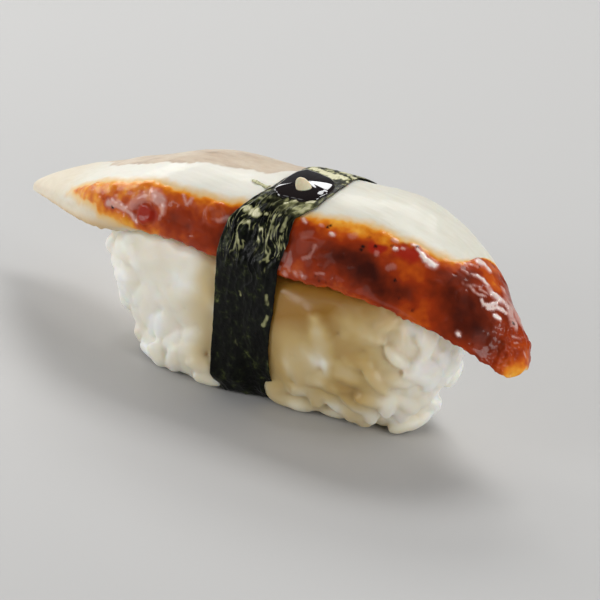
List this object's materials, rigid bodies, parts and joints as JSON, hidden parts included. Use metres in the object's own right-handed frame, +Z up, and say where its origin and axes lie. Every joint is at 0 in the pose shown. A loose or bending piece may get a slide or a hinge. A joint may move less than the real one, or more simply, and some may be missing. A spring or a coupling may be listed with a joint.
{
  "type": "eel nigiri sushi",
  "caption": "Pressed rice block under a long arched slice of glazed eel, held round the middle by a band of nori.",
  "frame": {"origin": "on the resting plane, under the middle of the bounding box", "axes": "+X along the slice towards its blunt end, +Y towards its thin long edge, +Z up"},
  "size_m": [0.1, 0.0268, 0.0351],
  "materials": {
    "cooked_rice": "moist, slightly translucent grains",
    "glazed_eel": "white flesh with a wet browned glaze along one side",
    "nori_sheet": "damp dried seaweed, dull with small glints"
  },
  "bodies": {
    "root": {"rice": "cooked_rice", "eel_slice": "glazed_eel", "nori_band": "nori_sheet"}
  },
  "joints": []
}
